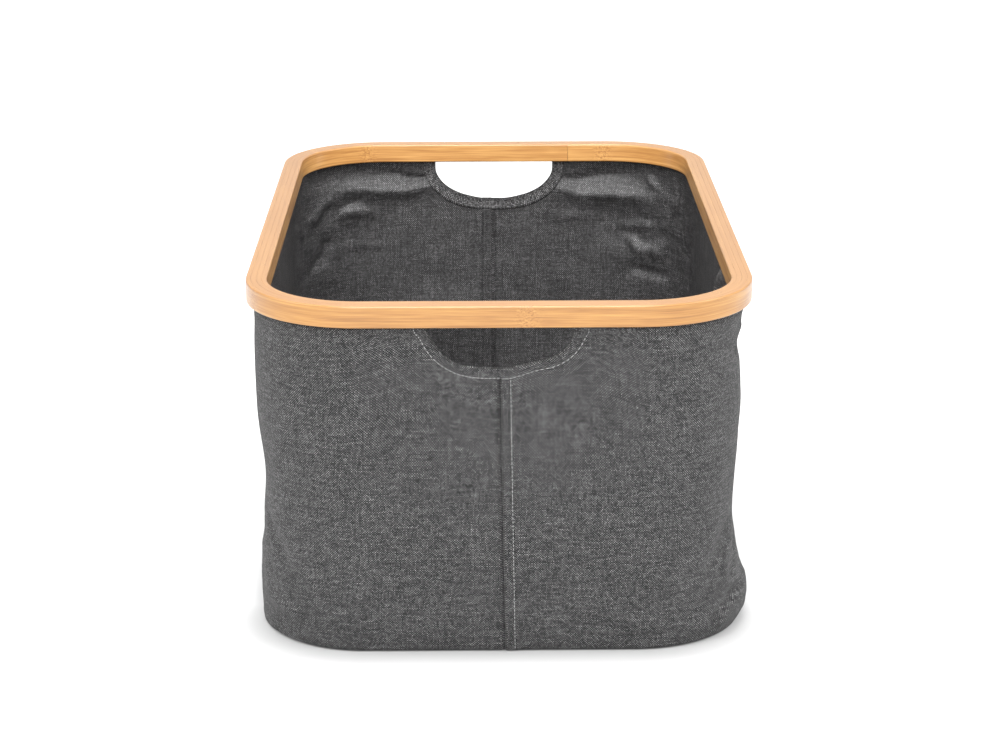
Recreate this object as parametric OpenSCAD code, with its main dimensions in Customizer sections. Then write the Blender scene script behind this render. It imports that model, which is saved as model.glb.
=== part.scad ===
// Soft laundry basket: a canvas bag that hangs in a groove under a bent bamboo rim.
// The origin is on the floor, midway between the sides and the ends; +Y runs along the basket.

/* [Rim] */
// Outside width of the rim
rim_w = 380; // [310:1:470]
// Outside length of the rim
rim_l = 580; // [470:1:720]
// Radius of the rim's outside corners
rim_r = 88; // [65:1:110]
// Height of the rim
rim_h = 16.5; // [13:0.5:22]
// Thickness of each bamboo ply
ply_t = 4; // [3:0.1:5]
// Depth of the groove in the rim's underside
groove_d = 8.5; // [7:0.1:10.5]
// Width of the line left open at each ply's butt joint
butt_w = 0.3; // [0.1:0.05:0.6]
// Distance of the inner ply's butt joint from the centre line, at the back
inner_butt_x = 69; // [10:1:90]
// Distance of the outer ply's butt joint from the centre line, at the back
outer_butt_x = -46; // [-90:1:-10]

/* [Bag] */
// Height from the floor to the rim's top
height = 270; // [210:1:360]
// Thickness of the canvas
canvas_t = 1.2; // [0.8:0.1:1.6]
// Gap between the rim's outer lip and the canvas
lip_gap = 1.5; // [0.5:0.1:2]
// Distance of each end seam's folded edge from the centre line
seam_off = 2; // [0:0.5:6]
// Width of the lap at each end seam
lap_w = 8.5; // [6:0.5:12]

/* [Hand holes] */
// Width of each hand hole
hole_w = 110; // [88:1:140]
// Depth of each hand hole below the rim
hole_d = 36.5; // [30:0.5:48]
// Radius of each hand hole's lower corners
hole_r = 28; // [18:1:30]
// Width of the facing round each hand hole
facing_w = 10.5; // [8:0.5:14]
// Thickness of the facing
facing_t = 0.8; // [0.4:0.1:1.2]

/* [Bottom] */
// Thickness of the stiffening board
board_t = 3; // [2:0.5:5]
// Height of the tape that binds the bottom seam
binding_h = 9; // [6:0.5:14]
// Thickness of the bound seam
binding_t = 2; // [1.2:0.1:3]

/* [Fixings] */
// Height of the batten that clamps the hem
batten_h = 3; // [2:0.1:4]
// Length of each staple's legs
staple_leg = 9; // [7:0.5:10]
// Width of each staple
staple_w = 8; // [6:0.5:12]
// Thickness of the staple wire
staple_wire = 0.9; // [0.6:0.1:1.2]
// Distance between staples along the long sides
staple_pitch = 58; // [40:1:90]

/* [Stitching] */
// Width of a stitched row
thread_w = 0.8; // [0.5:0.1:1.2]
// Thickness of the thread where it lies on the canvas
thread_t = 0.4; // [0.2:0.1:0.6]
// Distance of each row from the edge that it holds down
row_edge = 1.2; // [0.8:0.1:2]

/* [Hidden] */
$fn = 96;

fit = 0.3;                                   // clearance between loose pieces
board_gap = 2;                               // clearance round the board, inside the bag
past = 20;                                   // how far a cutting shape runs past what it cuts

rim_z = height - rim_h;                      // underside of the rim
roof_z = rim_z + groove_d;                   // roof of the groove
groove_end = 3 * ply_t;                      // inset of the groove's inner side
wall_out = ply_t + lip_gap;                  // inset of the canvas's outer face
wall_in = wall_out + canvas_t;               // inset of the canvas's inner face
wall_top = rim_z - fit;
end_out = rim_l / 2 - wall_out;              // y of an end wall's outer face
end_in = rim_l / 2 - wall_in;                // y of an end wall's inner face

hem_z = roof_z - canvas_t;                   // underside of the hem's turned-in leg
batten_out = wall_in + fit;
batten_in = groove_end - fit;
batten_mid = (batten_out + batten_in) / 2;
batten_z = hem_z - batten_h;

board_z = canvas_t;
lining_z = board_z + board_t;
binding_z = lining_z + canvas_t;
lap_z = binding_z + binding_h + fit;         // where the lap inside the bag starts
lap_top = rim_z - hole_d - facing_w - fit;   // and where it ends, under the facing
lap_end = seam_off + lap_w;
facing_row = facing_w - row_edge - thread_w; // from the hole's edge to the stitched row

bamboo = [0.86, 0.66, 0.42];
canvas = [0.33, 0.33, 0.35];
tape = [0.29, 0.29, 0.31];
thread = [0.62, 0.62, 0.62];
board = [0.15, 0.15, 0.16];
pale_wood = [0.78, 0.68, 0.52];
steel = [0.7, 0.7, 0.72];

// ---- shared shapes ----

// The rim's outline, brought in by inset all round, with true round corners.
module outline(inset) {
    w = rim_w - 2 * inset;
    l = rim_l - 2 * inset;
    r = rim_r - inset;
    square([w - 2 * r, l], center = true);
    square([w, l - 2 * r], center = true);
    for (x = [-1, 1], y = [-1, 1])
        translate([x * (w / 2 - r), y * (l / 2 - r)])
            circle(r);
}

module plate(inset, z0, z1) {
    translate([0, 0, z0])
        linear_extrude(z1 - z0)
            outline(inset);
}

// A closed band that follows the rim, from one inset to the next.
module band(out, in, z0, z1) {
    translate([0, 0, z0])
        linear_extrude(z1 - z0)
            difference() {
                outline(out);
                outline(in);
            }
}

// A bent strip of bamboo with a butt joint at the back.
module ply(number, z0, butt_x) {
    difference() {
        band(number * ply_t, (number + 1) * ply_t, z0, height);
        translate([butt_x - butt_w / 2, 0, z0 - past])
            cube([butt_w, rim_l, rim_h + 2 * past]);
    }
}

// Keeps what lies further right than the hand hole's side.
module beside_holes() {
    intersection() {
        children();
        translate([hole_w / 2, -rim_l, 0])
            cube([rim_w, 2 * rim_l, height]);
    }
}

// Turns what is made on the right, or at the front, to the other side.
module turned() {
    rotate([0, 0, 180])
        children();
}

// ---- rim ----

module rim_outer_ply() {
    color(bamboo)
        ply(0, rim_z, outer_butt_x);
}

module rim_outer_core() {
    color(bamboo)
        ply(1, roof_z, inner_butt_x / 3);
}

module rim_inner_core() {
    color(bamboo)
        ply(2, roof_z, -inner_butt_x);
}

module rim_inner_ply() {
    color(bamboo)
        ply(3, rim_z, inner_butt_x);
}

// The turned top edge of a wall: up in the groove, then in under its roof.
module hem() {
    color(canvas)
        beside_holes() {
            band(wall_out, wall_in, rim_z, roof_z);
            band(wall_out, batten_in, hem_z, roof_z);
        }
}

module hem_right() {
    hem();
}

module hem_left() {
    turned()
        hem();
}

module batten() {
    color(pale_wood)
        beside_holes()
            band(batten_out, batten_in, batten_z, hem_z);
}

module hem_batten_right() {
    batten();
}

module hem_batten_left() {
    turned()
        batten();
}

// A wire staple, its crown under the batten and along X, its legs up.
module staple() {
    translate([-staple_w / 2, -staple_wire / 2, batten_z - staple_wire])
        cube([staple_w, staple_wire, staple_wire]);
    for (side = [-1, 1])
        translate([side * (staple_w - staple_wire) / 2, 0, batten_z - staple_wire / 2])
            cylinder(d = staple_wire, h = staple_leg);
}

module hem_staples() {
    side_l = rim_l - 2 * rim_r;
    steps = floor(side_l / staple_pitch);
    corner_x = rim_w / 2 - rim_r;
    corner_y = rim_l / 2 - rim_r;
    beside_hole = (hole_w / 2 + corner_x) / 2;
    color(steel)
        for (end = [0, 180])
            rotate([0, 0, end]) {
                for (i = [0 : steps])
                    translate([rim_w / 2 - batten_mid, (i - steps / 2) * staple_pitch, 0])
                        rotate([0, 0, 90])
                            staple();
                for (x = [-beside_hole, beside_hole])
                    translate([x, rim_l / 2 - batten_mid, 0])
                        staple();
                for (side = [-1, 1], turn = [30, 60])
                    translate([side * corner_x, corner_y, 0])
                        rotate([0, 0, -side * turn])
                            translate([0, rim_r - batten_mid, 0])
                                staple();
            }
}

// ---- bag ----

// A hand hole seen from the front, grown by grow, with its top open past the rim's underside.
module hand_hole(grow) {
    translate([-hole_w / 2 - grow, rim_z - hole_d + hole_r])
        square([hole_w + 2 * grow, hole_d - hole_r + past]);
    translate([-hole_w / 2 + hole_r, rim_z - hole_d - grow])
        square([hole_w - 2 * hole_r, hole_d + grow + past]);
    for (side = [-1, 1])
        translate([side * (hole_w / 2 - hole_r), rim_z - hole_d + hole_r])
            circle(hole_r + grow);
}

// A flat shape drawn in X and Z, at the front, from y0 inwards by t, and cut off at the canvas's top.
module upright(y0, t) {
    translate([0, y0 + t, 0])
        rotate([90, 0, 0])
            linear_extrude(t)
                intersection() {
                    children();
                    translate([-rim_w / 2, 0])
                        square([rim_w, wall_top]);
                }
}

// One long side and half of each end. The back edge steps in behind the other panel, as a lap.
module wall() {
    reach = rim_w + rim_l;
    color(canvas)
        difference() {
            union() {
                intersection() {
                    band(wall_out, wall_in, 0, wall_top);
                    linear_extrude(height)
                        polygon([
                            [seam_off, -reach], [reach, -reach], [reach, reach],
                            [-seam_off, reach], [-seam_off, 0], [seam_off, 0]
                        ]);
                }
                translate([-lap_end, end_in - canvas_t, lap_z])
                    cube([lap_w + canvas_t, canvas_t, lap_top - lap_z]);
            }
            translate([0, rim_l, 0])
                rotate([90, 0, 0])
                    linear_extrude(2 * rim_l)
                        hand_hole(0);
        }
}

module wall_right() {
    wall();
}

module wall_left() {
    turned()
        wall();
}

module facing() {
    color(tape)
        upright(-end_in, facing_t)
            difference() {
                hand_hole(facing_w);
                hand_hole(0);
            }
}

module handhold_facing_front() {
    facing();
}

module handhold_facing_back() {
    turned()
        facing();
}

module facing_stitch_row() {
    difference() {
        hand_hole(facing_row + thread_w);
        hand_hole(facing_row);
    }
}

module handhold_thread() {
    color(thread) {
        upright(-end_out - thread_t, thread_t)
            facing_stitch_row();
        upright(-end_in + facing_t, thread_t)
            facing_stitch_row();
    }
}

module handhold_thread_front() {
    handhold_thread();
}

module handhold_thread_back() {
    turned()
        handhold_thread();
}

// One row outside the seam, and two inside, near the lap's edges.
module seam_thread() {
    outer_row = lap_end - row_edge - thread_w;
    color(thread) {
        translate([outer_row, -end_out - thread_t, 0])
            cube([thread_w, thread_t, lap_top]);
        for (x = [seam_off + row_edge, outer_row])
            translate([x, -end_in + canvas_t, lap_z])
                cube([thread_w, thread_t, lap_top - lap_z]);
    }
}

module seam_thread_front() {
    seam_thread();
}

module seam_thread_back() {
    turned()
        seam_thread();
}

module bottom_panel() {
    color(canvas)
        plate(wall_in, 0, board_z);
}

module base_board() {
    color(board)
        plate(wall_in + board_gap, board_z, lining_z);
}

module bottom_lining() {
    color(canvas)
        plate(wall_in, lining_z, binding_z);
}

module bottom_binding() {
    color(tape)
        band(wall_in, wall_in + binding_t, binding_z, binding_z + binding_h);
}

module bottom_thread() {
    row_z = binding_z + binding_h - row_edge - thread_w;
    color(thread)
        band(wall_in + binding_t, wall_in + binding_t + thread_t, row_z, row_z + thread_w);
}

rim_outer_ply();
rim_outer_core();
rim_inner_core();
rim_inner_ply();
hem_left();
hem_right();
hem_batten_left();
hem_batten_right();
hem_staples();
wall_left();
wall_right();
handhold_facing_front();
handhold_facing_back();
handhold_thread_front();
handhold_thread_back();
seam_thread_front();
seam_thread_back();
bottom_panel();
base_board();
bottom_lining();
bottom_binding();
bottom_thread();
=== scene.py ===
"""A soft laundry basket: a canvas bag with two hand holes, hung in a groove under a bent bamboo rim."""

import math

import bmesh
import bpy
from mathutils import Matrix, Vector, noise


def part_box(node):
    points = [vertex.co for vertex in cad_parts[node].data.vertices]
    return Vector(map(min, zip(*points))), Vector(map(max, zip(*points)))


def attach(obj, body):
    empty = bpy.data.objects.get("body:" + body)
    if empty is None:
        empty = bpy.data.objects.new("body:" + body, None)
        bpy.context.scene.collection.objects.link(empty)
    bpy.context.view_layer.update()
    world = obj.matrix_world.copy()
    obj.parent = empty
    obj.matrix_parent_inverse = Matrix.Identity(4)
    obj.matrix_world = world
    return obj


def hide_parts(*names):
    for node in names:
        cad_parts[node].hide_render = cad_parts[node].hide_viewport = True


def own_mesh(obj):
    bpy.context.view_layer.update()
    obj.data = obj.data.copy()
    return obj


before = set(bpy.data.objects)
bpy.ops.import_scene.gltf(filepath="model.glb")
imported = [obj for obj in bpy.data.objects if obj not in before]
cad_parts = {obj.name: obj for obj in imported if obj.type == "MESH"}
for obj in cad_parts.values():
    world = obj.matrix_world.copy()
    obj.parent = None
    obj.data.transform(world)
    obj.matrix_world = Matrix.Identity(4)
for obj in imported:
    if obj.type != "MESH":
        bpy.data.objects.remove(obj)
scene = bpy.context.scene
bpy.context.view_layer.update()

# ---- camera ----
# A long lens looks down on the basket's front end, a little to the left of its middle. Its place is measured
# from the rim's front edge and top.

rim_low, rim_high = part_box("rim_outer_ply")
LENS = 89.67
STANDPOINT = Vector((-0.0178, rim_low.y - 1.7204, rim_high.z + 0.4771))
PITCH, YAW, ROLL = (math.radians(angle) for angle in (17.08, 0.58, 0.11))
forward = Vector((math.sin(YAW) * math.cos(PITCH), math.cos(YAW) * math.cos(PITCH), -math.sin(PITCH)))
level = forward.cross(Vector((0, 0, 1))).normalized()
upright = level.cross(forward)
right = level * math.cos(ROLL) - upright * math.sin(ROLL)
up = level * math.sin(ROLL) + upright * math.cos(ROLL)

camera_data = bpy.data.cameras.new("camera")
camera_data.sensor_width = 36
camera_data.lens = LENS
camera = bpy.data.objects.new("camera", camera_data)
scene.collection.objects.link(camera)
turn = Matrix((right, up, -forward)).transposed().to_4x4()
camera.matrix_world = Matrix.Translation(STANDPOINT) @ turn
scene.camera = camera

# ---- canvas walls ----
# Two like panels of coated, heathered canvas, each one long side and half of both ends. They hang straight
# down from the rim's groove, roll in under the bottom edge, and lap over each other at each end's middle.

HALF_W, HALF_L = rim_high.x, rim_high.y
CORNER = 0.088
_, wall_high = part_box("wall_right")
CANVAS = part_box("bottom_panel")[1].z
INSET = HALF_W - wall_high.x + CANVAS / 2
RADIUS = CORNER - INSET
FLAT_END = 2 * (HALF_W - CORNER)
FLAT_SIDE = 2 * (HALF_L - CORNER)
BEND = RADIUS * math.pi / 2
ROUND = 2 * (FLAT_END + FLAT_SIDE) + 4 * BEND
BACK = ROUND / 2

BOTTOM_ROLL = 0.003
WALL_CUT = wall_high.z - CANVAS / 2 - BOTTOM_ROLL + BOTTOM_ROLL * math.pi / 2
CELL = 0.003

SEAM = 0.002
LAP = 0.0085
SEAM_ROW = 0.0016

facing_low, facing_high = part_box("handhold_facing_front")
FACING_W = 0.0105
HOLE_W = facing_high.x - facing_low.x - 2 * FACING_W
HOLE_BOTTOM = facing_low.z + FACING_W
HOLE_R = 0.028
FACING_ROW = 0.0089


def on_outline(s, out=0.0):
    """The point at s round the bag, from the front's middle towards +X, moved outwards, and the way out."""
    s = (s + FLAT_END / 2) % ROUND
    for quarter in range(4):
        flat, deep = (FLAT_END, HALF_L) if quarter % 2 == 0 else (FLAT_SIDE, HALF_W)
        if s <= flat:
            local, way = Vector((s - flat / 2, INSET - deep)), Vector((0, -1))
            break
        s -= flat
        if s <= BEND or quarter == 3:
            way = Vector((math.sin(s / RADIUS), -math.cos(s / RADIUS)))
            local = Vector((flat / 2, CORNER - deep)) + way * RADIUS
            break
        s -= BEND
    turned = Matrix.Rotation(quarter * math.pi / 2, 2)
    return turned @ (local + way * out), turned @ way


def wrapped(s):
    """s as a distance either way from the front's middle."""
    return (s + BACK) % ROUND - BACK


def ease(low, high, value):
    """0 below low, 1 above high, and a smooth curve between."""
    share = min(1.0, max(0.0, (value - low) / (high - low)))
    return share * share * (3 - 2 * share)


def hole_distance(x, z):
    """How far a point of an end wall is outside the hand hole, below 0 inside it."""
    across = abs(x) - HOLE_W / 2 + HOLE_R
    down = HOLE_BOTTOM + HOLE_R - z
    return min(max(across, down), 0) + math.hypot(max(across, 0), max(down, 0)) - HOLE_R


# Broad hollows and bulges: place round the bag, height, width, height of the patch, and how far out.
BELLIES = [
    (0.26, 0.082, 0.12, 0.036, -0.0052),
    (0.26, 0.130, 0.12, 0.030, -0.0024),
    (0.24, 0.228, 0.09, 0.030, -0.0042),
    (0.215, 0.020, 0.060, 0.022, 0.0082),
    (0.45, 0.140, 0.15, 0.080, -0.0045),
    (0.62, 0.150, 0.09, 0.070, 0.0030),
    (-0.25, 0.114, 0.12, 0.044, -0.0045),
    (-0.45, 0.130, 0.15, 0.080, -0.0050),
    (-0.60, 0.160, 0.10, 0.070, 0.0030),
    (0.06, 0.120, 0.07, 0.070, -0.0015),
    (-0.07, 0.090, 0.08, 0.080, 0.0015),
    (BACK - 0.050, 0.038, 0.050, 0.026, -0.0034),
    (BACK + 0.045, 0.100, 0.050, 0.026, -0.0026),
    (BACK - 0.110, 0.246, 0.050, 0.010, 0.0030),
    (BACK - 0.120, 0.219, 0.055, 0.010, -0.0042),
    (BACK + 0.115, 0.248, 0.050, 0.010, 0.0034),
    (BACK + 0.125, 0.224, 0.050, 0.009, -0.0044),
]
# Folds: both ends as place round the bag and height, half width, and how far out.
FOLDS = [
    (0.050, 0.226, 0.086, 0.247, 0.0045, -0.0022),
    (0.060, 0.216, 0.110, 0.232, 0.0060, 0.0016),
    (0.205, 0.228, 0.222, 0.206, 0.0050, -0.0030),
    (0.215, 0.240, 0.236, 0.222, 0.0050, 0.0025),
    (0.150, 0.050, 0.215, 0.090, 0.0080, -0.0030),
    (0.120, 0.030, 0.190, 0.038, 0.0090, -0.0020),
    (0.156, 0.015, 0.200, 0.036, 0.0045, -0.0034),
    (0.165, 0.012, 0.200, 0.024, 0.0050, 0.0016),
    (-0.145, 0.022, -0.200, 0.034, 0.0055, 0.0028),
    (-0.165, 0.060, -0.205, 0.098, 0.0060, -0.0024),
    (-0.150, 0.200, -0.190, 0.120, 0.0100, 0.0015),
    (-0.160, 0.060, -0.120, 0.030, 0.0100, 0.0015),
    (BACK - 0.058, 0.230, BACK - 0.130, 0.244, 0.0045, 0.0026),
    (BACK - 0.054, 0.220, BACK - 0.150, 0.222, 0.0050, -0.0028),
    (BACK - 0.145, 0.242, BACK - 0.158, 0.226, 0.0035, -0.0032),
    (BACK - 0.132, 0.171, BACK - 0.162, 0.166, 0.0045, -0.0036),
    (BACK - 0.128, 0.150, BACK - 0.174, 0.145, 0.0050, 0.0036),
    (BACK - 0.115, 0.190, BACK - 0.165, 0.193, 0.0035, -0.0026),
    (BACK - 0.050, 0.198, BACK - 0.105, 0.200, 0.0022, -0.0014),
    (BACK - 0.128, 0.182, BACK - 0.150, 0.150, 0.0045, -0.0032),
    (BACK + 0.056, 0.232, BACK + 0.110, 0.246, 0.0045, 0.0028),
    (BACK + 0.052, 0.222, BACK + 0.150, 0.229, 0.0050, -0.0030),
    (BACK + 0.062, 0.237, BACK + 0.090, 0.242, 0.0030, -0.0022),
    (BACK + 0.120, 0.222, BACK + 0.160, 0.203, 0.0045, 0.0034),
    (BACK + 0.160, 0.223, BACK + 0.190, 0.196, 0.0055, -0.0044),
    (BACK + 0.110, 0.204, BACK + 0.150, 0.208, 0.0040, -0.0030),
    (BACK + 0.105, 0.170, BACK + 0.150, 0.175, 0.0025, -0.0016),
    (BACK + 0.150, 0.190, BACK + 0.185, 0.150, 0.0060, 0.0026),
    (0.362, 0.246, 0.367, 0.150, 0.0100, -0.0075),
]
# Crumpled patches of the coated cloth: place, height, width, height of the patch.
CRUMPLES = [
    (BACK - 0.155, 0.190, 0.050, 0.045),
    (BACK + 0.160, 0.205, 0.045, 0.040),
    (0.205, 0.225, 0.030, 0.025),
    (-0.190, 0.060, 0.040, 0.035),
    (0.200, 0.050, 0.040, 0.040),
]


def fold_share(s, z, fold):
    """How strongly a fold shows at a point: 1 on its line, 0 past its ends and sides."""
    s0, z0, s1, z1, half = fold[:5]
    ds, dz = s1 - s0, z1 - z0
    length = math.hypot(ds, dz)
    along = (wrapped(s - s0) * ds + (z - z0) * dz) / length
    aside = abs(wrapped(s - s0) * dz - (z - z0) * ds) / length
    if aside > 3 * half or not -half < along < length + half:
        return 0.0
    ends = ease(-half, 0.3 * length, along) * (1 - ease(0.6 * length, length + half, along))
    return math.exp(-((aside / half) ** 2)) * ends


def relief(s, z):
    """How far outwards the canvas stands at a point, from its smooth outline."""
    front = abs(wrapped(s)) < BACK / 2
    end = wrapped(s) if front else wrapped(s - BACK)
    side = abs(end)
    out = 0.0
    for at_s, at_z, wide, tall, far in BELLIES:
        away = (wrapped(s - at_s) / wide) ** 2 + ((z - at_z) / tall) ** 2
        if away < 6:
            out += far * math.exp(-away)
    for fold in FOLDS:
        out += fold[5] * fold_share(s, z, fold)
    place = on_outline(s)[0].to_3d()
    place.z = z
    for at_s, at_z, wide, tall in CRUMPLES:
        away = (wrapped(s - at_s) / wide) ** 2 + ((z - at_z) / tall) ** 2
        if away < 5:
            crease = abs(noise.noise(place * 34)) + 0.5 * abs(noise.noise(place * 80))
            out += 0.0050 * math.exp(-away) * (0.3 - crease)
    corner = ease(0.09, 0.13, side) * (1 - ease(0.22, 0.28, side))
    out += corner * 0.0014 * noise.noise(Vector((place.x * 9, place.y * 9, z * 26)))
    out += 0.0011 * noise.noise(place * 15) + 0.0005 * noise.noise(place * 42)
    # the rim holds the top, except over the hand holes, and the board holds the bottom
    hanging = 1 - ease(HOLE_W / 2 - 0.004, HOLE_W / 2 + 0.012, side)
    held = 1 - ease(wall_high.z - 0.020, wall_high.z - 0.002, z)
    out *= max(held, 0.6 * hanging)
    out *= 0.4 + 0.6 * ease(0.0, 0.012, z)
    # the lap's extra layers, the crease along its folded edge, and the row that draws them together
    lap = ease(SEAM - 0.0002, SEAM + 0.0004, end) * (1 - ease(SEAM + LAP - 0.0006, SEAM + LAP + 0.001, end))
    out += 0.0012 * lap
    if z < HOLE_BOTTOM - FACING_ROW:
        out -= 0.0005 * math.exp(-(((end - SEAM - LAP + SEAM_ROW) / 0.0012) ** 2))
        out -= 0.0030 * math.exp(-(((end - SEAM + 0.0011) / 0.0011) ** 2))
    # a hand hole's row sinks in a little, and its edge is turned in
    if side < 0.09 and z > HOLE_BOTTOM - 0.02:
        gap = hole_distance(end, z)
        out -= 0.0004 * math.exp(-(((gap - FACING_ROW) / 0.0012) ** 2))
        if gap < 0.003:
            out -= 0.0014 * (1 - max(gap, 0) / 0.003) ** 2
    return out


def drawn_up(s, z):
    """Where a hand hole's edge has been drawn up into a shallower curve, lopsided at the front."""
    x = wrapped(s)
    if abs(x) > BACK / 2:
        x = abs(wrapped(s - BACK))
        rounder = ease(0.008, 0.042, x) * (1 - ease(0.056, 0.085, x)) * ease(0.190, 0.217, z)
        return s, z + 0.0058 * rounder * (1 - ease(0.224, 0.254, z))
    near = (1 - ease(0.065, 0.120, abs(x))) * ease(0.130, 0.205, z)
    if near == 0:
        return s, z
    band = min(1.0, max(0.0, hole_distance(x, z)) / FACING_ROW)
    if x > 0:
        more = 0.0064 * ease(0.005, 0.033, x)
        along = -0.0025 * (1 - band) * ease(0.225, 0.245, z)
    else:
        more = 0.0044 * ease(0.010, 0.045, -x)
        along = 0.0045 * ease(0.020, 0.058, -x) * (1 - 0.75 * ease(0.236, 0.250, z))
    lift = (0.0061 + more) * (0.8 + 0.2 * band) * (1 - ease(0.228, 0.256, z))
    return s + along * near, z + lift * near


def slanted(s, z):
    """Where the front lap's slight slant takes a point."""
    return s + (0.0018 - 0.016 * z) * (1 - ease(0.010, 0.045, abs(wrapped(s)))) * (1 - ease(0.205, 0.235, z))


def hang(s, v, out=0.0, layer=0.0):
    """Takes a point of the flat cloth, s round and v up, to its place on the bag."""
    angle = v / BOTTOM_ROLL
    if angle < math.pi / 2:
        z = CANVAS / 2 + BOTTOM_ROLL * (1 - math.cos(angle))
        out = out * math.sin(angle) - BOTTOM_ROLL * (1 - math.sin(angle))
    else:
        z = CANVAS / 2 + BOTTOM_ROLL + v - BOTTOM_ROLL * math.pi / 2
    stand = relief(s, z)
    s, z = drawn_up(slanted(s, z), z)
    place, _ = on_outline(s, out + layer + stand)
    return Vector((place.x, place.y, z))


def cut_height(z):
    """The height on the flat cloth of what hangs at height z, above the rolled edge."""
    return z - CANVAS / 2 - BOTTOM_ROLL + BOTTOM_ROLL * math.pi / 2


def trim(bm, distance, cell):
    """Cuts the flat cloth away where distance is below 0, and eases the cut edge onto the line."""
    gone = [f for f in bm.faces if distance(*f.calc_center_median().xy) < 0]
    loose = set(gone)
    edge = [v for f in gone for v in f.verts if not loose.issuperset(v.link_faces)]
    edge = list(dict.fromkeys(edge))
    bmesh.ops.delete(bm, geom=gone, context="FACES")
    step = cell / 50
    for v in edge:
        for _ in range(2):
            x, y = v.co.xy
            d = distance(x, y)
            slope = Vector((distance(x + step, y) - d, distance(x, y + step) - d, 0)) / step
            v.co -= slope * d / max(slope.length_squared, 0.25)
    near = [v for v in bm.verts if not v.is_boundary and abs(distance(*v.co.xy)) < 3 * cell]
    for _ in range(4):
        bmesh.ops.smooth_vert(bm, verts=near, factor=0.5, use_axis_x=True, use_axis_y=True)


def refine(bm, near, cuts):
    """Divides the cloth's cells more finely where near is true of their middle."""
    fine = [f for f in bm.faces if near(*f.calc_center_median().xy)]
    edges = list(dict.fromkeys(e for f in fine for e in f.edges))
    bmesh.ops.subdivide_edges(bm, edges=edges, cuts=cuts, use_grid_fill=True)


def flat_cloth(width, height, cell):
    """A flat piece of cloth from (0, 0) to (width, height), as a fine grid."""
    bm = bmesh.new()
    columns, rows = round(width / cell), round(height / cell)
    bmesh.ops.create_grid(bm, x_segments=columns, y_segments=rows, size=0.5)
    bmesh.ops.translate(bm, verts=bm.verts, vec=(0.5, 0.5, 0))
    bmesh.ops.scale(bm, verts=bm.verts, vec=(width, height, 1))
    return bm


def keep_cut(bm):
    """Writes each point's place on the flat cloth to the UV map that the weave follows."""
    layer = bm.loops.layers.uv.new("cloth")
    for f in bm.faces:
        for loop in f.loops:
            loop[layer].uv = loop.vert.co.xy


def finished(name, bm, materials, smooth=True):
    """Makes the piece's object from its mesh."""
    mesh = bpy.data.meshes.new(name)
    bm.to_mesh(mesh)
    bm.free()
    for material in materials:
        mesh.materials.append(material)
    if smooth:
        mesh.shade_smooth()
    piece = bpy.data.objects.new(name, mesh)
    scene.collection.objects.link(piece)
    return piece


def thicken(piece, thickness, inner_slot=0):
    """Gives a cloth its thickness, half to each side."""
    solid = piece.modifiers.new("thickness", "SOLIDIFY")
    solid.thickness = thickness
    solid.offset = 0
    solid.material_offset = inner_slot
    return piece


def new_material(name):
    """A material, its node tree and its shader."""
    material = bpy.data.materials.new(name)
    material.use_nodes = True
    return material, material.node_tree, material.node_tree.nodes["Principled BSDF"]


def add(tree, kind, values, **settings):
    """Adds a node, sets it, and fills or links its sockets."""
    node = tree.nodes.new("ShaderNode" + kind)
    for key, value in settings.items():
        setattr(node, key, value)
    for key, value in values.items():
        if isinstance(value, bpy.types.NodeSocket):
            tree.links.new(value, node.inputs[key])
        else:
            node.inputs[key].default_value = value
    return node


def maths(tree, operation, *values, clamp=False):
    """The result of a sum on numbers or sockets."""
    return add(tree, "Math", dict(enumerate(values)), operation=operation, use_clamp=clamp).outputs[0]


def speckle(tree, place, detail=2.0, scale=1.0):
    """Noise at a place, as a number."""
    node = add(tree, "TexNoise", {"Vector": place, "Scale": scale, "Detail": detail})
    return node.outputs["Fac"]


def ranged(tree, value, to_low, to_high, low=0.0, high=1.0, **settings):
    """A value between low and high, moved to the same share of another range."""
    ends = {"Value": value, "From Min": low, "From Max": high, "To Min": to_low, "To Max": to_high}
    return add(tree, "MapRange", ends, **settings).outputs[0]


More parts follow.
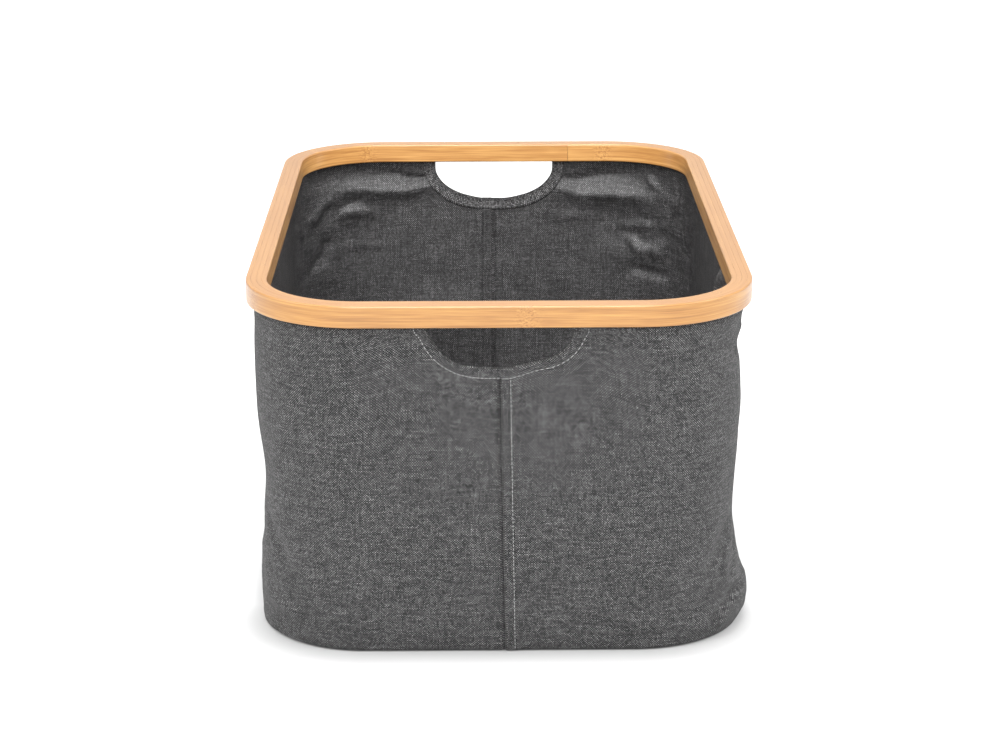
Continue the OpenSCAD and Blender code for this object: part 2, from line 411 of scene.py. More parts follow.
def woven(name, dark, light, streaks, bias=0.0, coated=False):
    """Plain weave of dark threads up and light ones across. Streaks: how far the threads of each differ."""
    pitch = 0.00092
    material, tree, shader = new_material(name)
    uv = add(tree, "UVMap", {}, uv_map="cloth").outputs["UV"]
    if bias:
        uv = add(tree, "Mapping", {"Vector": uv, "Rotation": (0, 0, bias)}).outputs[0]
    wander = add(tree, "TexNoise", {"Vector": uv, "Scale": 60.0, "Detail": 3.0}).outputs["Color"]
    wander = add(tree, "VectorMath", {0: wander, 1: (0.5, 0.5, 0.5)}, operation="SUBTRACT").outputs[0]
    wander = add(tree, "VectorMath", {0: wander, 1: (0.0009, 0.0009, 0)}, operation="MULTIPLY").outputs[0]
    uv = add(tree, "VectorMath", {0: uv, 1: wander}, operation="ADD").outputs[0]
    count = add(tree, "VectorMath", {0: uv, 1: (1 / pitch,) * 3}, operation="MULTIPLY").outputs[0]
    split = add(tree, "SeparateXYZ", {0: count})
    u, v = split.outputs[0], split.outputs[1]
    column, row = maths(tree, "FLOOR", u), maths(tree, "FLOOR", v)

    def by_thread(x, x_scale, y, y_scale):
        """Noise that is each thread's own and drifts along it."""
        x, y = maths(tree, "MULTIPLY", x, x_scale), maths(tree, "MULTIPLY", y, y_scale)
        return speckle(tree, add(tree, "CombineXYZ", {0: x, 1: y}).outputs[0])

    # each thread's own lightness, drifting along it, with here and there a thick light slub
    up_tone, across_tone = by_thread(column, 7.3, v, 0.10), by_thread(u, 0.10, row, 7.3)
    up_line, across_line = by_thread(column, 3.7, v, 0.03), by_thread(u, 0.04, row, 3.7)
    lines = [
        maths(tree, "MULTIPLY_ADD", line, 5 * far, 1 - 2.5 * far)
        for line, far in zip((up_line, across_line), streaks)
    ]
    crossing = add(tree, "CombineXYZ", {0: column, 1: row}).outputs[0]
    fleck = add(tree, "TexWhiteNoise", {"Vector": crossing}, noise_dimensions="2D").outputs["Value"]

    # which thread lies on top, and how high it stands
    u_wave = maths(tree, "SINE", maths(tree, "MULTIPLY", u, math.pi))
    v_wave = maths(tree, "SINE", maths(tree, "MULTIPLY", v, math.pi))
    over = maths(tree, "MULTIPLY_ADD", maths(tree, "MULTIPLY", u_wave, v_wave), 4.0, 0.5, clamp=True)
    u_ridge, v_ridge = maths(tree, "ABSOLUTE", u_wave), maths(tree, "ABSOLUTE", v_wave)
    height = maths(tree, "MULTIPLY", u_ridge, v_ridge)

    across = ranged(tree, across_tone, 0.5, 1.15, 0.3, 0.7)
    up = ranged(tree, up_tone, 0.0, 0.4, 0.45, 0.75)
    tone = add(tree, "Mix", {0: over, 2: across, 3: up}).outputs[0]
    tone = maths(tree, "MULTIPLY", tone, maths(tree, "MULTIPLY_ADD", fleck, 1.2, 0.4))
    tone = maths(tree, "MULTIPLY", tone, maths(tree, "MULTIPLY", *lines))
    threads = {0: tone, 6: (*dark, 1), 7: (*light, 1)}
    colour = add(tree, "Mix", threads, data_type="RGBA", clamp_factor=False).outputs[2]
    cloud = ranged(tree, speckle(tree, uv, 3.0, 26.0), 0.88, 1.12)
    # painted shade: the threads' colour is darkened where they sink between the crossings, on top of the
    # cloud's random tone
    tone_and_painted_shade = maths(tree, "MULTIPLY", cloud, maths(tree, "MULTIPLY_ADD", height, 1.1, 0.3))
    colour = add(tree, "VectorMath", {0: colour, "Scale": tone_and_painted_shade}, operation="SCALE").outputs[0]
    tree.links.new(colour, shader.inputs["Base Color"])
    bump = add(tree, "Bump", {"Height": height, "Distance": 0.00025, "Strength": 0.3 if coated else 0.6})
    tree.links.new(bump.outputs[0], shader.inputs["Normal"])
    shader.inputs["Roughness"].default_value = 0.46 if coated else 0.9
    shader.inputs["Specular IOR Level"].default_value = 0.42 if coated else 0.2
    shader.inputs["Sheen Weight"].default_value = 0.0 if coated else 0.06
    return material


canvas_outside = woven("canvas_outside", (0.003, 0.003, 0.0031), (0.122, 0.120, 0.121), (0.12, 0.32))
canvas_inside = woven(
    "canvas_inside", (0.003, 0.0029, 0.003), (0.110, 0.107, 0.109), (0.40, 0.36), coated=True
)


def panel(name, node, start):
    """Cuts one panel flat, hangs it from start round the bag, and tucks its far edge behind the other one."""
    bm = flat_cloth(BACK + LAP, WALL_CUT, CELL)
    lap_top = cut_height(HOLE_BOTTOM - FACING_W - 0.0003)

    def outside_cuts(u, v):
        """Above 0 where the panel keeps its cloth."""
        near, far = u + SEAM, u + SEAM - BACK
        z = v - WALL_CUT + wall_high.z
        keep = min(hole_distance(near, z), hole_distance(far, z))
        return min(keep, max(BACK - u, lap_top - v))

    def by_seam(u, v):
        """True by the lapped seams and the hand holes, where the relief is finer."""
        z = v - WALL_CUT + wall_high.z
        hole = min(hole_distance(u + SEAM, z), hole_distance(u + SEAM - BACK, z))
        return abs(u - 0.005) < 0.010 or u > BACK - 0.012 or -0.004 < hole < 0.015

    refine(bm, by_seam, 2)
    trim(bm, outside_cuts, CELL / 3)
    keep_cut(bm)
    for vert in bm.verts:
        u, v = vert.co.xy
        tuck = (CANVAS + 0.0001) * ease(BACK - 0.0012, BACK + 0.0016, u)
        vert.co = hang(start + SEAM + u, v, -tuck)
    piece = finished(name, bm, (canvas_outside, canvas_inside))
    thicken(piece, CANVAS, inner_slot=1)
    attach(piece, "bag")
    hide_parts(node)
    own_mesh(piece)
    return piece


canvas_right = panel("canvas_right", "wall_right", 0.0)
canvas_left = panel("canvas_left", "wall_left", BACK)

# ---- hand hole facings ----
# A bias-cut strip of the same cloth lies round each hand hole on the inside, and binds its edge.

FACING = facing_high.y - facing_low.y
HOLE_SIDE = wall_high.z - HOLE_BOTTOM - HOLE_R
HOLE_BEND = HOLE_R * math.pi / 2
HOLE_FLAT = HOLE_W - 2 * HOLE_R
HOLE_LINE = 2 * (HOLE_SIDE + HOLE_BEND) + HOLE_FLAT


def round_hole(t, off):
    """The point at t along a hand hole's edge, from its top on the left, moved off away from the hole."""
    if t > HOLE_LINE / 2:
        x, z = round_hole(HOLE_LINE - t, off)
        return -x, z
    if t <= HOLE_SIDE:
        return -HOLE_W / 2 - off, wall_high.z - t
    t -= HOLE_SIDE
    if t <= HOLE_BEND:
        angle, radius = t / HOLE_R, HOLE_R + off
        return -HOLE_FLAT / 2 - radius * math.cos(angle), HOLE_BOTTOM + HOLE_R - radius * math.sin(angle)
    return t - HOLE_BEND - HOLE_FLAT / 2, HOLE_BOTTOM - off


bias_tape = woven(
    "bias_tape", (0.004, 0.004, 0.0041), (0.215, 0.210, 0.213), (0.2, 0.2), bias=math.pi / 4
)


def facing(name, node, middle):
    """Lays the strip round the hole whose middle is at that place round the bag."""
    bm = flat_cloth(HOLE_LINE, FACING_W, 0.0015)
    keep_cut(bm)
    inward = -(CANVAS + FACING) / 2 - 0.0001
    for vert in bm.verts:
        t, off = vert.co.xy
        x, z = round_hole(t, off)
        vert.co = hang(middle + x, cut_height(z), inward)
    bmesh.ops.reverse_faces(bm, faces=bm.faces)
    piece = finished(name, bm, (bias_tape,))
    thicken(piece, FACING)
    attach(piece, "bag")
    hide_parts(node)
    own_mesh(piece)


facing("facing_front", "handhold_facing_front", 0.0)
facing("facing_back", "handhold_facing_back", BACK)

# ---- stitching ----
# Twisted thread, light grey outside and dark inside, three stitches to the centimetre: a row round each
# facing, seen on both sides, and the rows of the lapped end seams, one outside and two inside.

STITCH, STITCH_GAP, THREAD = 0.0022, 0.0008, 0.00052


def twisted(name, dark, light):
    """Sewing thread, its twist seen as fine light and dark bands."""
    material, tree, shader = new_material(name)
    position = add(tree, "TexCoord", {}).outputs["Object"]
    twist = add(tree, "TexWave", {"Vector": position, "Scale": 900.0, "Distortion": 2.0})
    tone = ranged(tree, twist.outputs["Fac"], dark, light)
    tree.links.new(tone, shader.inputs["Base Color"])
    shader.inputs["Roughness"].default_value = 0.7
    return material


thread_outside = twisted("thread_outside", 0.17, 0.40)
thread_inside = twisted("thread_inside", 0.03, 0.09)


def sew(bm, start, end, face):
    """One stitch from start to end, its outer side facing the given way."""
    along = end - start
    side = face.cross(along).normalized()
    lift = along.normalized().cross(side)
    shape = Matrix((along.normalized(), side, lift)).transposed().to_4x4()
    size = Matrix.Diagonal((along.length / 2, THREAD / 2, THREAD * 0.4, 1))
    place = Matrix.Translation((start + end) / 2)
    made = bmesh.ops.create_uvsphere(bm, u_segments=6, v_segments=4, radius=1, matrix=place @ shape @ size)
    return dict.fromkeys(f for v in made["verts"] for f in v.link_faces)


def sew_row(bm, line, length, layer):
    """Stitches along a line of the flat cloth, each held a little under the cloth at its ends."""
    count = round(length / (STITCH + STITCH_GAP))
    step = length / count
    for i in range(count):
        ends = []
        for t in (i * step + STITCH_GAP / 2, (i + 1) * step - STITCH_GAP / 2):
            s, v = line(t)
            ends.append(hang(s, v, layer))
        s, _ = line((i + 0.5) * step)
        face = on_outline(s)[1].to_3d() * math.copysign(1, layer)
        for f in sew(bm, ends[0], ends[1], face):
            f.material_index = 0 if layer > 0 else 1


def stitched(name, node, bm, threads=(thread_outside, thread_inside), squashed=True):
    """Makes the stitches' object."""
    piece = finished(name, bm, threads)
    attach(piece, "bag")
    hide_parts(node)
    if squashed:
        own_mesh(piece)


for name, middle in (("front", 0.0), ("back", BACK)):
    bm = bmesh.new()

    def facing_line(t):
        x, z = round_hole(t, FACING_ROW)
        return middle + x, cut_height(z)

    for layer in (CANVAS / 2 + 0.0002, -CANVAS / 2 - FACING - 0.0003):
        sew_row(bm, facing_line, HOLE_LINE, layer)
    stitched("facing_stitches_" + name, "handhold_thread_" + name, bm)

    bm = bmesh.new()
    seam_top = cut_height(HOLE_BOTTOM - FACING_ROW - 0.0008)
    outer_row = SEAM + LAP - SEAM_ROW
    sew_row(bm, lambda v: (middle + outer_row, v), seam_top, CANVAS / 2 + 0.0002)
    low = cut_height(0.016)
    for row in (SEAM + SEAM_ROW, outer_row):
        sew_row(bm, lambda v: (middle + row, low + v), seam_top - low, -1.5 * CANVAS - 0.0001)
    stitched("seam_stitches_" + name, "seam_thread_" + name, bm)

# ---- underside ----
# The outer bottom panel is cut from the walls' canvas, with round corners, and sewn to the walls' lower edges
# all round.

AROUND = 480


bm = bmesh.new()
bmesh.ops.create_circle(bm, cap_ends=True, segments=AROUND, radius=1)
for i, vert in enumerate(bm.verts):
    vert.co = hang(ROUND * i / AROUND, 0.0)
bmesh.ops.recalc_face_normals(bm, faces=bm.faces)
if bm.faces[:][0].normal.z > 0:
    bmesh.ops.reverse_faces(bm, faces=bm.faces)
keep_cut(bm)
underside = finished("underside", bm, (canvas_outside, canvas_inside))
thicken(underside, CANVAS, inner_slot=1)
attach(underside, "bag")
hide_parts("bottom_panel")

# ---- lining ----
# A second canvas covers the stiff board inside, with its coated side up. It lies loose, so it isn't flat away
# from its edge.

LINING_IN = INSET + CANVAS / 2 + 0.0002
LINING_CELL = 0.005
LOOSE = 0.0005


def lining_distance(x, y):
    """How far a point is inside the lining's edge."""
    across, along = abs(x) - HALF_W + CORNER, abs(y) - HALF_L + CORNER
    return CORNER - LINING_IN - min(max(across, along), 0) - math.hypot(max(across, 0), max(along, 0))


lining_low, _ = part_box("bottom_lining")
lining_z = lining_low.z + CANVAS / 2
bm = flat_cloth(2 * HALF_W, 2 * HALF_L, LINING_CELL)
trim(bm, lambda x, y: lining_distance(x - HALF_W, y - HALF_L), LINING_CELL)
keep_cut(bm)
for vert in bm.verts:
    x, y = vert.co.x - HALF_W, vert.co.y - HALF_L
    uneven = LOOSE * (1 + noise.noise(Vector((x * 14, y * 14, lining_z * 900))))
    vert.co = (x, y, lining_z + uneven * ease(0.0, 0.005, lining_distance(x, y)))
lining = finished("lining", bm, (canvas_inside,))
thicken(lining, CANVAS)
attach(lining, "bag")
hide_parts("bottom_lining")

# ---- base board ----
# A black fibre board with round corners and broken edges lies between the two canvases and keeps the bottom
# flat.

board_low, board_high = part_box("base_board")
board_black, tree, shader = new_material("board_black")
position = add(tree, "TexCoord", {}).outputs["Object"]
fibres = speckle(tree, position, 5.0, 160.0)
tone = ranged(tree, fibres, 0.012, 0.040)
tree.links.new(tone, shader.inputs["Base Color"])
bump = add(tree, "Bump", {"Height": fibres, "Distance": 0.0002, "Strength": 0.4})
tree.links.new(bump.outputs[0], shader.inputs["Normal"])
shader.inputs["Roughness"].default_value = 0.6

size, middle = board_high - board_low, (board_low + board_high) / 2
round_off = CORNER - (HALF_W - board_high.x)
bm = bmesh.new()
bmesh.ops.create_grid(bm, x_segments=1, y_segments=1, size=0.5)
bmesh.ops.scale(bm, verts=bm.verts, vec=(size.x, size.y, 1))
bmesh.ops.bevel(
    bm, geom=bm.verts[:], offset=round_off, affect="VERTICES", segments=12, profile=0.5, material=-1
)
raised = bmesh.ops.extrude_face_region(bm, geom=bm.faces[:])
top = [v for v in raised["geom"] if isinstance(v, bmesh.types.BMVert)]
bmesh.ops.translate(bm, verts=top, vec=(0, 0, size.z))
bmesh.ops.translate(bm, verts=bm.verts, vec=(middle.x, middle.y, board_low.z))
bmesh.ops.recalc_face_normals(bm, faces=bm.faces)
rims = [e for e in bm.edges if abs(e.verts[0].co.z - e.verts[1].co.z) < 1e-6]
bmesh.ops.bevel(bm, geom=rims, offset=0.0006, affect="EDGES", segments=2, profile=0.5, material=-1)
board = finished("stiffener", bm, (board_black,), smooth=False)
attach(board, "bag")
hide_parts("base_board")

# ---- bottom binding ----
# The raw edges of the bottom seam stand up inside. A grey woven tape is folded over them, pinched together
# and sewn down with dark thread.

binding_low, binding_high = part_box("bottom_binding")
BINDING_T = 0.002
BINDING_H = binding_high.z - binding_low.z
BINDING_FACE = -CANVAS / 2 - 0.0006
PINCHED = 0.7
TAPE = 0.0004
binding_grey = woven("binding_grey", (0.010, 0.010, 0.0105), (0.12, 0.12, 0.125), (0.1, 0.1))


def over_edge(w):
    """A point of the tape's width as it folds over the raw edges: how far in from the wall, and how high."""
    half, side = BINDING_T / 2, BINDING_H - BINDING_T / 2
    if w < side:
        return 0.0, w
    w -= side
    if w < math.pi * half:
        return half - half * math.cos(w / half), side + half * math.sin(w / half)
    return 2 * half, side - (w - math.pi * half)


tape_w = 2 * (BINDING_H - BINDING_T / 2) + math.pi * BINDING_T / 2
bm = flat_cloth(ROUND, tape_w, 0.0015)
keep_cut(bm)
for vert in bm.verts:
    s, w = vert.co.xy
    inward, z = over_edge(w)
    uneven = 0.0002 * noise.noise(Vector((s * 60, w * 200, 2)))
    place, _ = on_outline(s, BINDING_FACE - inward * PINCHED - uneven)
    vert.co = (place.x, place.y, binding_low.z + TAPE + z)
bmesh.ops.remove_doubles(bm, verts=bm.verts, dist=1e-6)
bmesh.ops.reverse_faces(bm, faces=bm.faces)
binding = finished("binding_tape", bm, (binding_grey,))
thicken(binding, TAPE)
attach(binding, "bag")
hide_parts("bottom_binding")

bm = bmesh.new()
row_z = binding_high.z - 0.0016
count = round(ROUND / (STITCH + STITCH_GAP))
step = ROUND / count
for i in range(count):
    ends = []
    for s in (i * step, i * step + STITCH):
        place, way = on_outline(s, BINDING_FACE - BINDING_T * PINCHED - 0.0003)
        ends.append(Vector((place.x, place.y, row_z)))
    sew(bm, ends[0], ends[1], -way.to_3d())
stitched("binding_stitches", "bottom_thread", bm, threads=(thread_inside,), squashed=False)

# ---- bamboo rim ----
# Four strips of bamboo bent round one after another and glued: the outer and inner ones are as high as the
# rim, and the two between are shorter, which leaves the groove underneath. Each closes in a butt joint.

PLY = (HALF_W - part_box("rim_inner_ply")[1].x) / 3
GLUE = 0.00003
BUTT_GAP = 0.0003
EDGE, LIP, GLUED = 0.0013, 0.0003, 0.00008


def lay_strip(name, node, number, z_low, z_high, joint_x, rounded):
    """Bends one strip round the rim, from its butt joint back to it, with its section's corners rounded."""
    out, inn = number * PLY + GLUE, (number + 1) * PLY - GLUE
    bm = bmesh.new()
    start_x = joint_x - BUTT_GAP / 2
    corners = [(out, z_low), (inn, z_low), (inn, z_high), (out, z_high)]
    verts = [bm.verts.new((start_x, HALF_L - inset, z)) for inset, z in corners]
    bm.faces.new(verts)
    for vert, size in zip(verts, rounded):
        steps = 4 if size > 0.0005 else 1
        bmesh.ops.bevel(
            bm, geom=[vert], offset=size, affect="VERTICES", segments=steps, profile=0.5, material=-1
        )
    section = bm.edges[:]
    first, last = FLAT_END / 2 + start_x, FLAT_END / 2 - start_x - BUTT_GAP
    flats = [first, FLAT_SIDE, FLAT_END, FLAT_SIDE, last]
    heading = Vector((-1, 0, 0))
    centres = [(-1, 1), (-1, -1), (1, -1), (1, 1)]
    for i, flat in enumerate(flats):
        spun = bmesh.ops.spin(
            bm, geom=section, cent=(0, 0, 0), axis=(0, 0, 1), dvec=heading * flat / 8, angle=0, steps=8
        )
        section = [e for e in spun["geom_last"] if isinstance(e, bmesh.types.BMEdge)]
        if i == len(centres):
            break
        centre = Vector((centres[i][0] * (HALF_W - CORNER), centres[i][1] * (HALF_L - CORNER), 0))
        spun = bmesh.ops.spin(
            bm, geom=section, cent=centre, axis=(0, 0, 1), dvec=(0, 0, 0), angle=math.pi / 2, steps=24
        )
        section = [e for e in spun["geom_last"] if isinstance(e, bmesh.types.BMEdge)]
        heading = Matrix.Rotation(math.pi / 2, 3, "Z") @ heading
    bmesh.ops.holes_fill(bm, edges=[e for e in bm.edges if e.is_boundary], sides=0)
    bmesh.ops.recalc_face_normals(bm, faces=bm.faces)
    layer = bm.verts.layers.float_vector.new("strip")
    for v in bm.verts:
        v[layer] = straightened(v.co, joint_x)
    piece = finished(name, bm, (bamboo(name, number),))
    piece.data.set_sharp_from_angle(angle=math.radians(35))
    weighted = piece.modifiers.new("faces stay flat", "WEIGHTED_NORMAL")
    weighted.keep_sharp = True
    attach(piece, "rim")
    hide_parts(node)


def straightened(point, joint_x):
    """A point of a bent strip as it lay before bending: along it from the joint, in from its face, and up."""
    mean = CORNER - 2 * PLY
    bend = mean * math.pi / 2
    x, y = point.x, point.y
    ax, ay = abs(x) - (HALF_W - CORNER), abs(y) - (HALF_L - CORNER)
    if ax > 0 and ay > 0:
        inset = CORNER - math.hypot(ax, ay)
        angle = math.atan2(ax, ay)
        quarter = FLAT_END / 2 + mean * angle
    elif ay > ax:
        inset = CORNER - ay
        quarter = abs(x)
    else:
        inset = CORNER - ax
        quarter = FLAT_END / 2 + bend + (HALF_L - CORNER) - abs(y)
    half = FLAT_END + 2 * bend + FLAT_SIDE
    along = quarter if y > 0 else half - quarter
    along = along if x < 0 else 2 * half - along
    if x < 0 and y > 0 and x > joint_x:
        along += 2 * half
    if x > 0 and y > 0 and x < joint_x:
        along -= 2 * half
    return Vector((along, inset, point.z))


def bamboo(name, number):
    """Laminated bamboo: long fibres, a knuckle every so often where they kink, and a satin lacquer."""
    internode = 0.2141
    knuckle_at = (0.0226, 0.11, 0.17, 0.1187)[number]
    material, tree, shader = new_material(name)
    strip = add(tree, "Attribute", {}, attribute_name="strip").outputs["Vector"]
    along, inset, high = add(tree, "SeparateXYZ", {0: strip}).outputs

    # 1 at a knuckle's middle, falling to 0 a centimetre away
    place = maths(tree, "DIVIDE", maths(tree, "SUBTRACT", along, knuckle_at - internode / 2), internode)
    away = maths(tree, "SUBTRACT", maths(tree, "FRACT", place), 0.5)
    away = maths(tree, "ABSOLUTE", maths(tree, "MULTIPLY", away, internode / 0.0075))
    knuckle = maths(tree, "EXPONENT", maths(tree, "MULTIPLY", maths(tree, "POWER", away, 2.0), -1.0))

    def stretched(place, x, y):
        """Noise drawn out along the strip: so many turns to the metre along it, and across."""
        scaled = add(tree, "VectorMath", {0: place, 1: (x, y, y)}, operation="MULTIPLY").outputs[0]
        return speckle(tree, scaled, 3.0)

    kink = maths(tree, "SUBTRACT", stretched(strip, 160.0, 300.0), 0.5)
    kink = maths(tree, "MULTIPLY", maths(tree, "MULTIPLY", kink, knuckle), 0.006)
    sides = (maths(tree, "ADD", inset, kink), maths(tree, "ADD", high, kink))
    bent = add(tree, "CombineXYZ", {0: along, 1: sides[0], 2: sides[1]}).outputs[0]
    fine, broad = stretched(bent, 26.0, 1500.0), stretched(bent, 7.0, 480.0)
    patch = stretched(bent, 16.0, 90.0)
    grain = maths(tree, "ADD", maths(tree, "MULTIPLY", fine, 0.36), maths(tree, "MULTIPLY", broad, 0.38))
    grain = maths(tree, "ADD", grain, maths(tree, "MULTIPLY", patch, 0.26))

    # the grain is plainer on the strips' narrow upper edges
    upward = add(tree, "SeparateXYZ", {0: add(tree, "NewGeometry", {}).outputs["Normal"]}).outputs[2]
    upward = maths(tree, "ABSOLUTE", upward)
    plain = maths(tree, "MULTIPLY_ADD", upward, -0.7, 1.0)
    grain = maths(tree, "MULTIPLY_ADD", maths(tree, "SUBTRACT", grain, 0.5), plain, 0.5)
    lighter = maths(tree, "MULTIPLY_ADD", knuckle, 0.035, grain)
    # painted light and shade by which way a face looks: the outer strip's side faces are painted darker and
    # warmer, the inner strip's side faces lighter, and the upper and lower faces keep the plain colour
    painted_light_by_face = ((0.93, 0.90, 0.72), (1, 1, 1), (1, 1, 1), (1.38, 1.40, 1.46))[number]
    painted_light_by_face = add(tree, "Mix", {0: upward, 4: painted_light_by_face, 5: (1, 1, 1)}, data_type="VECTOR").outputs[1]
    ramp = add(tree, "ValToRGB", {"Fac": lighter})
    stops = ramp.color_ramp.elements
    stops[0].position, stops[0].color = 0.39, (0.235, 0.100, 0.024, 1)
    stops[1].position, stops[1].color = 0.61, (0.420, 0.225, 0.070, 1)
    middle = stops.new(0.5)
    middle.color = (0.330, 0.158, 0.044, 1)
    flecks = ranged(tree, stretched(strip, 480.0, 900.0), 0.0, 1.0, 0.5, 0.62)
    dark = maths(tree, "MULTIPLY", maths(tree, "MULTIPLY", knuckle, flecks), 0.75)
    colours = {0: dark, 6: ramp.outputs[0], 7: (0.19, 0.072, 0.016, 1)}
    colour = add(tree, "Mix", colours, data_type="RGBA").outputs[2]
    colour = add(tree, "VectorMath", {0: colour, 1: painted_light_by_face}, operation="MULTIPLY").outputs[0]
    tree.links.new(colour, shader.inputs["Base Color"])
    bump = add(tree, "Bump", {"Height": fine, "Distance": 0.00012, "Strength": 0.25})
    tree.links.new(bump.outputs[0], shader.inputs["Normal"])
    shader.inputs["Roughness"].default_value = 0.42
    shader.inputs["Coat Weight"].default_value = 0.55
    shader.inputs["Coat Roughness"].default_value = 0.2
    return material


core_low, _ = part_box("rim_outer_core")
low, high, core = rim_low.z, rim_high.z, core_low.z
lay_strip("bamboo_outer", "rim_outer_ply", 0, low, high, -0.046, (EDGE, LIP, GLUED, EDGE))
lay_strip("bamboo_outer_core", "rim_outer_core", 1, core, high, 0.023, (GLUED,) * 4)
lay_strip("bamboo_inner_core", "rim_inner_core", 2, core, high, -0.069, (GLUED,) * 4)
lay_strip("bamboo_inner", "rim_inner_ply", 3, low, high, 0.069, (LIP, EDGE, EDGE, GLUED))

# ---- hems ----
# Each panel's upper edge is folded over a bent batten in the groove and stapled up into the rim every 58 mm.
# The canvas stops at the hand holes.

hem_low, hem_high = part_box("hem_right")
HEM_LEG = hem_high.z - CANVAS / 2 - hem_low.z
HEM_TURN = HALF_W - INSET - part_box("hem_batten_right")[1].x + 0.0055
HEM_START = HOLE_W / 2 + 0.0003
for name, node, start in (("hem_canvas_right", "hem_right", 0.0), ("hem_canvas_left", "hem_left", BACK)):
    length = BACK - 2 * HEM_START
    bm = flat_cloth(length, HEM_LEG + HEM_TURN, 0.0028)
    keep_cut(bm)
    for vert in bm.verts:
        u, v = vert.co.xy
        turned = max(0.0, v - HEM_LEG)
        place, _ = on_outline(start + HEM_START + u, -turned)
        vert.co = (place.x, place.y, hem_low.z + min(v, HEM_LEG))
    hem = finished(name, bm, (canvas_outside, canvas_inside))
    thicken(hem, CANVAS, inner_slot=1)
    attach(hem, "rim")
    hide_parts(node)

# ---- battens and staples ----
# Inside each hem lies a thin bamboo batten, bent like the rim. Galvanised wire staples go up through hem and
# batten into the core strips.

batten_wood, tree, shader = new_material("batten_wood")
position = add(tree, "TexCoord", {}).outputs["Object"]
position = add(tree, "VectorMath", {0: position, 1: (1.0, 1.0, 12.0)}, operation="MULTIPLY").outputs[0]
grain = speckle(tree, position, 4.0, 140.0)
ramp = add(tree, "ValToRGB", {"Fac": grain})
stops = ramp.color_ramp.elements
stops[0].position, stops[0].color = 0.35, (0.22, 0.105, 0.030, 1)
stops[1].position, stops[1].color = 0.65, (0.36, 0.195, 0.066, 1)
tree.links.new(ramp.outputs[0], shader.inputs["Base Color"])
bump = add(tree, "Bump", {"Height": grain, "Distance": 0.0002, "Strength": 0.3})
tree.links.new(bump.outputs[0], shader.inputs["Normal"])
shader.inputs["Roughness"].default_value = 0.6

staple_steel, tree, shader = new_material("staple_steel")
position = add(tree, "TexCoord", {}).outputs["Object"]
wear = speckle(tree, position, 3.0, 900.0)
tone = ranged(tree, wear, 0.40, 0.70)
tree.links.new(tone, shader.inputs["Base Color"])
rough = ranged(tree, wear, 0.25, 0.45)
tree.links.new(rough, shader.inputs["Roughness"])
shader.inputs["Metallic"].default_value = 1.0

finishes = {"hem_batten_left": batten_wood, "hem_batten_right": batten_wood, "hem_staples": staple_steel}
for node, finish in finishes.items():
    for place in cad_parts[node].material_slots:
        place.material = finish

# ---- floor and light ----
# A plain white floor that glows, with a painted shadow close to the bag where its glow and its grey fall
# away, and a pale sky that is brightest low down. A broad light stands in front, one hangs overhead, and one
# stands on each side.

# the painted shadow: how far it reaches in front and behind, how far back it lasts, and the widths of its
# darkest band and of its fade
PAINTED_SHADOW_FRONT, PAINTED_SHADOW_BEHIND, BEHIND = 0.075, 0.014, 0.10
SHADE, OPEN = 0.004, 0.060
EDGE_AT = CORNER - INSET
bm = bmesh.new()
bmesh.ops.create_grid(bm, x_segments=1, y_segments=1, size=8, matrix=Matrix.Translation((0, 2, 0)))
floor_with_painted_shadow, tree, shader = new_material("floor_with_painted_shadow")
across, along, _ = add(tree, "SeparateXYZ", {0: add(tree, "TexCoord", {}).outputs["Object"]}).outputs
past = [
    maths(tree, "MAXIMUM", maths(tree, "SUBTRACT", maths(tree, "ABSOLUTE", value), half - CORNER), 0.0)
    for value, half in ((across, HALF_W), (along, HALF_L))
]
beyond = maths(tree, "SQRT", maths(tree, "ADD", *(maths(tree, "POWER", value, 2.0) for value in past)))

# the painted shadow is broad in front and dies away behind the front corners
painted_shadow_edge = ranged(tree, along, CORNER + PAINTED_SHADOW_FRONT, CORNER + PAINTED_SHADOW_BEHIND, -HALF_L, BEHIND - HALF_L)
emission_in_painted_shadow = ranged(tree, along, 0.0, 0.27, -HALF_L, BEHIND - HALF_L)
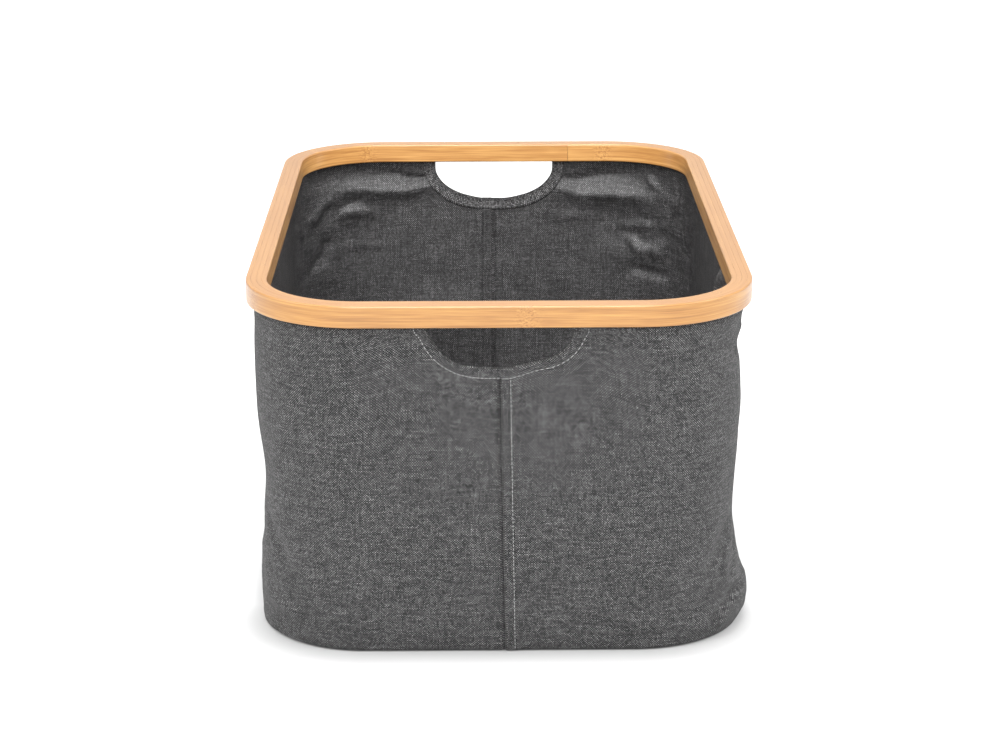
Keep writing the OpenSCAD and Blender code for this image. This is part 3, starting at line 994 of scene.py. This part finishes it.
# painted shadow: the floor's glow drops near the bag's edge, to nothing in front
glow_with_painted_shadow = ranged(tree, beyond, emission_in_painted_shadow, 0.56, EDGE_AT - 0.001, painted_shadow_edge, interpolation_type="SMOOTHSTEP")
tree.links.new(glow_with_painted_shadow, shader.inputs["Emission Strength"])
# painted shade: the floor's colour darkens to near black at the bag's edge and opens to its own grey further
# out
painted_shadow_nearness = ranged(tree, beyond, 0.0, 1.0, EDGE_AT - SHADE, EDGE_AT + OPEN)
tone_and_painted_shade = add(tree, "ValToRGB", {"Fac": painted_shadow_nearness})
stops = tone_and_painted_shade.color_ramp.elements
stops[0].color = (0.03, 0.03, 0.03, 1)
stops[1].color = (0.55, 0.55, 0.55, 1)
edge = stops.new(1.1 * SHADE / (SHADE + OPEN))
edge.color = (0.34, 0.34, 0.34, 1)
tree.links.new(tone_and_painted_shade.outputs[0], shader.inputs["Base Color"])
shader.inputs["Emission Color"].default_value = (1, 1, 1, 1)
shader.inputs["Roughness"].default_value = 0.9
shader.inputs["Specular IOR Level"].default_value = 0.1
floor = finished("floor", bm, (floor_with_painted_shadow,), smooth=False)

world = bpy.data.worlds.new("world")
scene.world = world
world.use_nodes = True
tree = world.node_tree
heights = add(tree, "SeparateXYZ", {0: add(tree, "TexCoord", {}).outputs["Generated"]}).outputs[2]
background = tree.nodes["Background"]
background.inputs["Color"].default_value = (1, 1, 1, 1)
tree.links.new(ranged(tree, heights, 1.0, 0.6), background.inputs["Strength"])


def softbox(name, place, aim, size, power):
    """A square, soft studio light."""
    data = bpy.data.lights.new(name, "AREA")
    data.size, data.energy = size, power
    light = bpy.data.objects.new(name, data)
    scene.collection.objects.link(light)
    light.location = place
    light.rotation_mode = "QUATERNION"
    light.rotation_quaternion = (Vector(aim) - Vector(place)).to_track_quat("-Z", "Y")


softbox("key", (-0.3, -4.8, 2.9), (0, 0, 0.15), 3.0, 342)
softbox("overhead", (0.0, -0.3, 1.9), (0, 0.1, 0.2), 1.1, 34)
softbox("right side", (3.2, -0.6, 2.6), (0, 0, 0.2), 2.4, 95)
softbox("left side", (-3.2, -0.6, 2.6), (0, 0, 0.2), 2.4, 75)
scene.view_settings.view_transform = "Standard"
